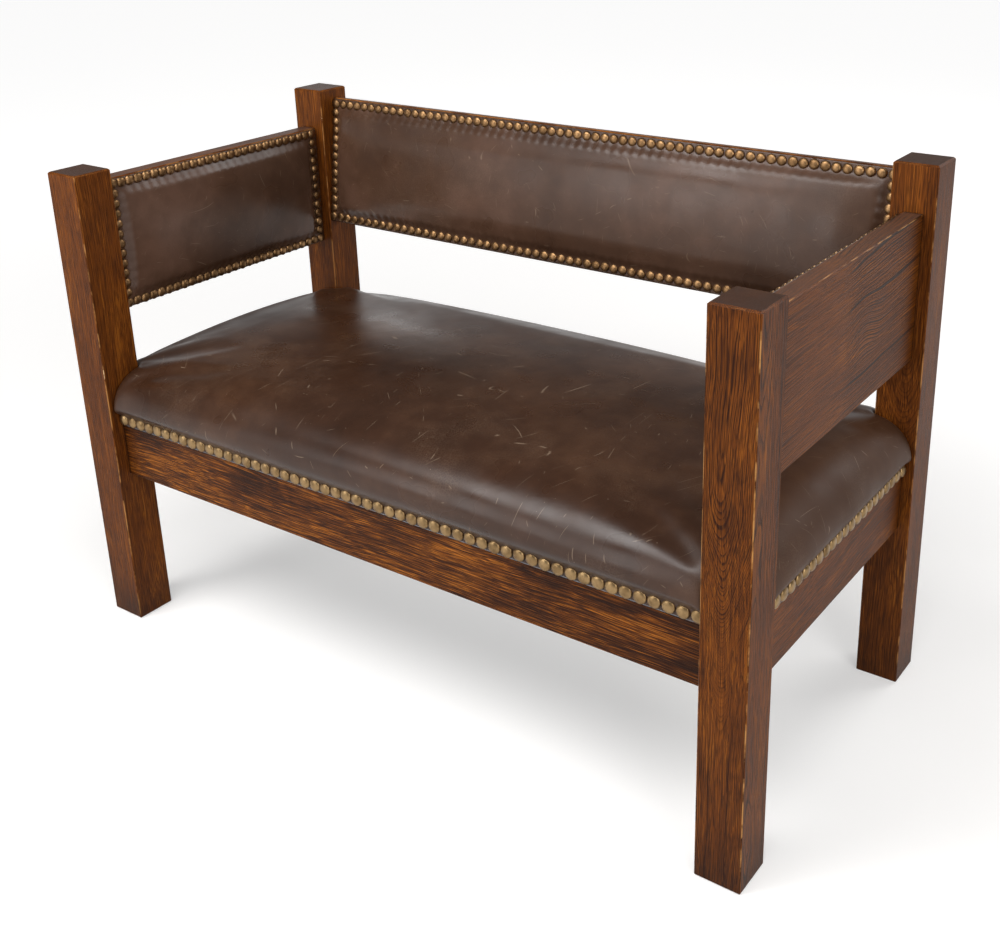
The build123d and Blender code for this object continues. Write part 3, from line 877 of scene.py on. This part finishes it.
class Pad(NamedTuple):
    """An upholstered panel on a board, and its nails."""

    length: float
    height: float
    nails_along: int
    nails_up: int
    inset: tuple  # distance of the nails from the ends and from the top and bottom
    rise: float  # height of the crown
    frame: Matrix  # the board's own directions (along, up, out) in the row frame


def board_frame(origin, along, up, out):
    """Matrix from a board's own directions to the row frame."""
    return Matrix.Translation(origin) @ Matrix((along, up, out)).transposed().to_4x4()


arm_length = 2 * post_inner_y
arm_height = arm_high[Z] - arm_low[Z]
arm_middle = (arm_low[Z] + arm_high[Z]) / 2
arm_face_x = arm_low[X]
arm_sizes = (arm_length, arm_height, 27, 12, (13 * MM, 9.5 * MM), 10 * MM)
back_bottom = 615 * MM
back_drop = 18 * MM
back_height = (back_post_top - back_drop - back_bottom) / math.cos(back_lean)
back_up = Vector((0, math.sin(back_lean), math.cos(back_lean)))
back_out = Vector((0, -math.cos(back_lean), math.sin(back_lean)))
back_foot = Vector((0, post_inner_y + 4 * MM, back_bottom))
back_sizes = (2 * post_inner_x, back_height, 62, 13, (9 * MM, 11.5 * MM), 15 * MM)
PADS = {
    "left_arm": Pad(
        *arm_sizes, board_frame((-arm_face_x, 0, arm_middle), (0, -1, 0), (0, 0, 1), (1, 0, 0))
    ),
    "right_arm": Pad(
        *arm_sizes, board_frame((arm_face_x, 0, arm_middle), (0, 1, 0), (0, 0, 1), (-1, 0, 0))
    ),
    "back": Pad(
        *back_sizes, board_frame(back_foot + back_up * back_height / 2, (1, 0, 0), back_up, back_out)
    ),
}
# Cells outside the nails, and the leather's margin to the board's edge
EDGE_CELLS = 2
PANEL_MARGIN = 1.5 * MM
# Leather flat under the nails, where it puckers, then rolling up to the crown
PANEL_LEATHER = 2 * MM
NAILED_EDGE = 6 * MM
PUCKER = 0.5
ROLL = 17 * MM
EDGE_LIFT = 5 * MM
# Stretch at a pad's ends over which its crown falls away, and how much of it stays there
END_FADE = 90 * MM
END_CROWN = 0.35


def grid_lines(size, inset, cells):
    """Places of a pad's grid lines from edge to edge: the margin's cells, the nails' cells, the margin's."""
    inner = [-size / 2 + inset + (size - 2 * inset) * i / cells for i in range(cells + 1)]
    margin = [
        -size / 2 + PANEL_MARGIN + (inset - PANEL_MARGIN) * i / EDGE_CELLS for i in range(EDGE_CELLS)
    ]
    return margin + inner + [-place for place in reversed(margin)]


def build_pad(pad):
    """Pad on a board's face: (along, up, out) points, flat under the nails and crowned within them."""
    along = grid_lines(pad.length, pad.inset[0], pad.nails_along * NAIL_CELLS)
    up = grid_lines(pad.height, pad.inset[1], pad.nails_up * NAIL_CELLS)
    top, flat, pins = [], [], []
    for i, u in enumerate(along):
        for j, v in enumerate(up):
            to_side = pad.length / 2 - pad.inset[0] - abs(u)
            to_top = pad.height / 2 - pad.inset[1] - abs(v)
            depth = min(to_side, to_top)
            cell = (i if to_top < to_side else j) - EDGE_CELLS
            near_nail = 0.5 + 0.5 * math.cos(2 * math.pi * cell / NAIL_CELLS)
            lift = smooth_rise((depth - NAILED_EDGE * (0.5 + PUCKER * near_nail)) / ROLL)
            round_up = 1 - (2 * v / pad.height) ** 2
            round_along = 1 - smooth_rise((abs(u) - pad.length / 2 + END_FADE) / END_FADE)
            crown = pad.rise * round_up * (END_CROWN + (1 - END_CROWN) * round_along)
            top.append((u, v, clearance + PANEL_LEATHER + lift * (EDGE_LIFT + crown)))
            flat.append((u, v, clearance))
            pins.append(HELD if depth < NAILED_EDGE * 0.4 else 0.05)
    n = len(up)
    top_faces = []
    for i in range(len(along) - 1):
        for j in range(n - 1):
            top_faces.append([i * n + j, (i + 1) * n + j, (i + 1) * n + j + 1, i * n + j + 1])
    faces, rim = close_skin(top_faces, len(top))
    return top + flat, faces, pins + [HELD] * len(flat)


def add_pad(part, pad, material):
    """One upholstered pad on its board, swollen with Cloth."""
    vertices, faces, pins = build_pad(pad)
    to_board = pad.frame.inverted()

    def on_board(point, old):
        local = to_board @ point
        local.z = max(local.z, (to_board @ old).z - 1 * MM, clearance)
        return pad.frame @ local

    placed = [pad.frame @ Vector(v) for v in vertices]
    piece = grid_piece(part + "_upholstery", placed, faces, material)
    swell(piece, pins, 3 * MM, on_board)
    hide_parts(part + "_leather", part + "_padding")


panel_leather = brown_leather(
    "brown_leather_panels", 11.7, PANEL_HIDE, scratches=0.35, cracks=0.07, sheen=0.3
)
for part, pad in PADS.items():
    add_pad(part, pad, panel_leather)


# Upholstery nails

NAIL_RINGS = 5
NAIL_SIDES = 18
# Straight edge of a head below its dome, as a share of its height
NAIL_EDGE = 0.18
# Hand work: tilt of a head, radians, and how far it sits from its place
NAIL_TILT = 0.035
NAIL_SLIP = 0.25 * MM
# Any direction that no nail points in, to turn its spokes from
OFF_AXIS = Vector((0.31, 0.47, 0.83))


def dome_profile(radius, height):
    """Points (out, up) of a head from its rim to its crown."""
    points = [(radius, 0), (radius, height * NAIL_EDGE)]
    for i in range(1, NAIL_RINGS):
        angle = math.pi / 2 * i / NAIL_RINGS
        lift = NAIL_EDGE + (1 - NAIL_EDGE) * math.sin(angle)
        points.append((radius * math.cos(angle), height * lift))
    return points


def nail_row(name, seats, radius, height, material):
    """Nail heads at these seats: (centre, out direction)."""
    vertices, faces = [], []
    for centre, out in seats:
        tilt = Vector((draw.gauss(0, 1), draw.gauss(0, 1), draw.gauss(0, 1))) * NAIL_TILT
        normal = (out + tilt).normalized()
        side = normal.cross(OFF_AXIS).normalized()
        other = normal.cross(side)
        size = radius * draw.uniform(0.965, 1.02)
        tall = height * draw.uniform(0.9, 1.08)
        slip = side * draw.gauss(0, NAIL_SLIP) + other * draw.gauss(0, NAIL_SLIP)
        first = len(vertices)
        for reach, up in dome_profile(size, tall):
            for s in range(NAIL_SIDES):
                angle = 2 * math.pi * s / NAIL_SIDES
                spoke = side * (reach * math.cos(angle)) + other * (reach * math.sin(angle))
                vertices.append(centre + slip + spoke + normal * up)
        vertices.append(centre + slip + normal * tall)
        crown = len(vertices) - 1
        for r in range(NAIL_RINGS):
            for s in range(NAIL_SIDES):
                a = first + r * NAIL_SIDES + s
                b = first + r * NAIL_SIDES + (s + 1) % NAIL_SIDES
                faces.append([a, b, b + NAIL_SIDES, a + NAIL_SIDES])
        last = first + NAIL_RINGS * NAIL_SIDES
        for s in range(NAIL_SIDES):
            faces.append([last + s, last + (s + 1) % NAIL_SIDES, crown])
        faces.append([first + s for s in reversed(range(NAIL_SIDES))])
    return grid_piece(name, vertices, faces, material)


seat_brass = antique_brass("antique_brass_seat_nails", "#947a56", "#6e573a", 0.36)
panel_brass = antique_brass("antique_brass_panel_nails", "#92714e", "#644a30", 0.42)
seat_nail_radius = 10.4 * MM
seat_nail_height = 5.4 * MM
seat_nail_z = 392.5 * MM
panel_nail_radius = 8.6 * MM
panel_nail_height = 5.2 * MM
panel_nail_base = 2.2 * MM


def seat_nails(name, count, reach, face, along, out):
    """A row of large flat heads along a rail."""
    seats = []
    for i in range(count):
        place = -reach + 2 * reach * (i + 0.5) / count
        seats.append((along * place + out * (face + seat_skin) + Vector((0, 0, seat_nail_z)), out))
    nail_row(name, seats, seat_nail_radius, seat_nail_height, seat_brass)


def panel_nails(part, pad):
    """Domed heads all round a pad."""
    half_along = pad.length / 2 - pad.inset[0]
    half_up = pad.height / 2 - pad.inset[1]
    places = []
    for i in range(pad.nails_along + 1):
        u = -half_along + 2 * half_along * i / pad.nails_along
        places += [(u, -half_up), (u, half_up)]
    for j in range(1, pad.nails_up):
        v = -half_up + 2 * half_up * j / pad.nails_up
        places += [(-half_along, v), (half_along, v)]
    out = (pad.frame.to_3x3() @ Vector((0, 0, 1))).normalized()
    seats = [(pad.frame @ Vector((u, v, panel_nail_base)), out) for u, v in places]
    nail_row(part + "_nails", seats, panel_nail_radius, panel_nail_height, panel_brass)


x_axis = Vector((1, 0, 0))
y_axis = Vector((0, 1, 0))
seat_nails("front_seat_nails", front_nail_count, seat_side, front_rail_face, x_axis, -y_axis)
seat_nails("back_seat_nails", front_nail_count, seat_side, front_rail_face, x_axis, y_axis)
seat_nails("left_seat_nails", side_nail_count, seat_front, side_rail_face, y_axis, -x_axis)
seat_nails("right_seat_nails", side_nail_count, seat_front, side_rail_face, y_axis, x_axis)
for part, pad in PADS.items():
    panel_nails(part, pad)


# Floor, light and camera

WHITE = (1, 1, 1, 1)
floor_reach = 12
floor_mesh = bpy.data.meshes.new("floor")
floor_corners = [(x * floor_reach, y * floor_reach, 0) for x, y in ((-1, -1), (1, -1), (1, 1), (-1, 1))]
floor_mesh.from_pydata(floor_corners, [], [[0, 1, 2, 3]])
floor = bpy.data.objects.new("floor", floor_mesh)
bpy.context.scene.collection.objects.link(floor)
# Plain pale studio floor: matt paper that prints white for the camera and keeps the shadow round the object
paper, tree, surface = new_material("matt_paper")
surface.inputs["Base Color"].default_value = linear("#d4d2d0")
surface.inputs["Roughness"].default_value = 0.95
surface.inputs["Specular IOR Level"].default_value = 0.1
rays = node(tree, "LightPath").outputs
seen = {0: rays["Is Camera Ray"], 1: rays["Is Glossy Ray"]}
seen = node(tree, "Math", seen, operation="MAXIMUM")
seen = node(tree, "Math", {0: seen, 1: rays["Is Transmission Ray"]}, operation="MAXIMUM")
place = node(tree, "TexCoord").outputs["Object"]
away = node(tree, "VectorMath", {0: place}, operation="LENGTH")
away = node(
    tree, "MapRange", {"Value": away, "From Min": 0.9, "From Max": 4, "To Min": 0.4, "To Max": 0.85}
)
seen = node(tree, "Math", {0: seen, 1: away}, operation="MULTIPLY")
surface.inputs["Emission Color"].default_value = WHITE
tree.links.new(seen.outputs[0], surface.inputs["Emission Strength"])
floor_mesh.materials.append(paper)

# Studio room: white to the camera all round; for the object a white wall that dims upwards to a grey
# ceiling
world = bpy.data.worlds.new("studio")
bpy.context.scene.world = world
world.use_nodes = True
tree = world.node_tree
tree.nodes.clear()
rays = node(tree, "LightPath").outputs
toward = node(tree, "TexCoord").outputs["Generated"]
toward = node(tree, "SeparateXYZ", {0: toward}).outputs[Z]
wall = node(
    tree,
    "MapRange",
    {"Value": toward, "From Min": 0.06, "From Max": 0.34, "To Min": 0.8, "To Max": 0.12},
    interpolation_type="SMOOTHSTEP",
)
direct = {0: rays["Is Camera Ray"], 1: rays["Is Transmission Ray"]}
direct = node(tree, "Math", direct, operation="MAXIMUM")
room = node(tree, "Background", {"Color": WHITE, "Strength": wall})
white = node(tree, "Background", {"Color": WHITE, "Strength": 1.0})
mixed = node(tree, "MixShader", {0: direct, 1: room, 2: white})
node(tree, "OutputWorld", {"Surface": mixed})


def soft_box(name, place, aim, size, power):
    """Rectangular area light at a place, aimed at a point."""
    light = bpy.data.lights.new(name, "AREA")
    light.shape = "RECTANGLE"
    light.size, light.size_y = size
    light.energy = power
    lamp = bpy.data.objects.new(name, light)
    lamp.location = place
    lamp.rotation_euler = (Vector(aim) - Vector(place)).to_track_quat("-Z", "Y").to_euler()
    bpy.context.scene.collection.objects.link(lamp)


soft_box("overhead_front", (0.4, -1.5, 2.7), (0.3, 0, 0.45), (1.8, 1.4), 40)
soft_box("overhead_left", (-0.9, -1.5, 2.7), (0.2, 0, 0.45), (1.1, 1.1), 38)
soft_box("right_side", (3.0, -1.6, 1.9), (0, 0, 0.45), (1.6, 2.0), 44)
soft_box("left_front", (-1.4, -3.0, 1.4), (0.2, 0, 0.55), (1.6, 1.6), 30)
soft_box("back_right", (1.6, 2.6, 2.6), (0, 0, 0.4), (2.0, 1.6), 50)
soft_box("back_left", (-2.6, 2.4, 1.55), (-0.4, 0, 0.45), (0.6, 0.5), 1.8)

# The photograph's camera: place, direction and lens fitted to the posts' corners; frame 1000 by 948
camera_place = Vector((1236.0, -1543.7, 1307.7)) * MM
azimuth, elevation, roll = 0.60007, 0.35995, -0.01495
focal_pixels = 1299.7
frame_width = 1000
axis_pixel = (576.0, 334.0)
middle_pixel = (500, 474)
level_back = Vector((math.sin(azimuth), -math.cos(azimuth), 0))
backward = level_back * math.cos(elevation) + Vector((0, 0, math.sin(elevation)))
right = Vector((0, 0, 1)).cross(backward).normalized()
upward = backward.cross(right)
turned_right = right * math.cos(roll) + upward * math.sin(roll)
turned_up = upward * math.cos(roll) - right * math.sin(roll)
directions = Matrix((turned_right, turned_up, backward)).transposed().to_4x4()
lens = bpy.data.cameras.new("camera")
lens.sensor_width = 36
lens.lens = lens.sensor_width * focal_pixels / frame_width
lens.shift_x = (middle_pixel[0] - axis_pixel[0]) / frame_width
lens.shift_y = (axis_pixel[1] - middle_pixel[1]) / frame_width
lens.clip_start = 0.05
lens.clip_end = 60
camera = bpy.data.objects.new("camera", lens)
camera.matrix_world = Matrix.Translation(camera_place) @ directions
bpy.context.scene.collection.objects.link(camera)
bpy.context.scene.camera = camera
bpy.context.scene.view_settings.view_transform = "Standard"
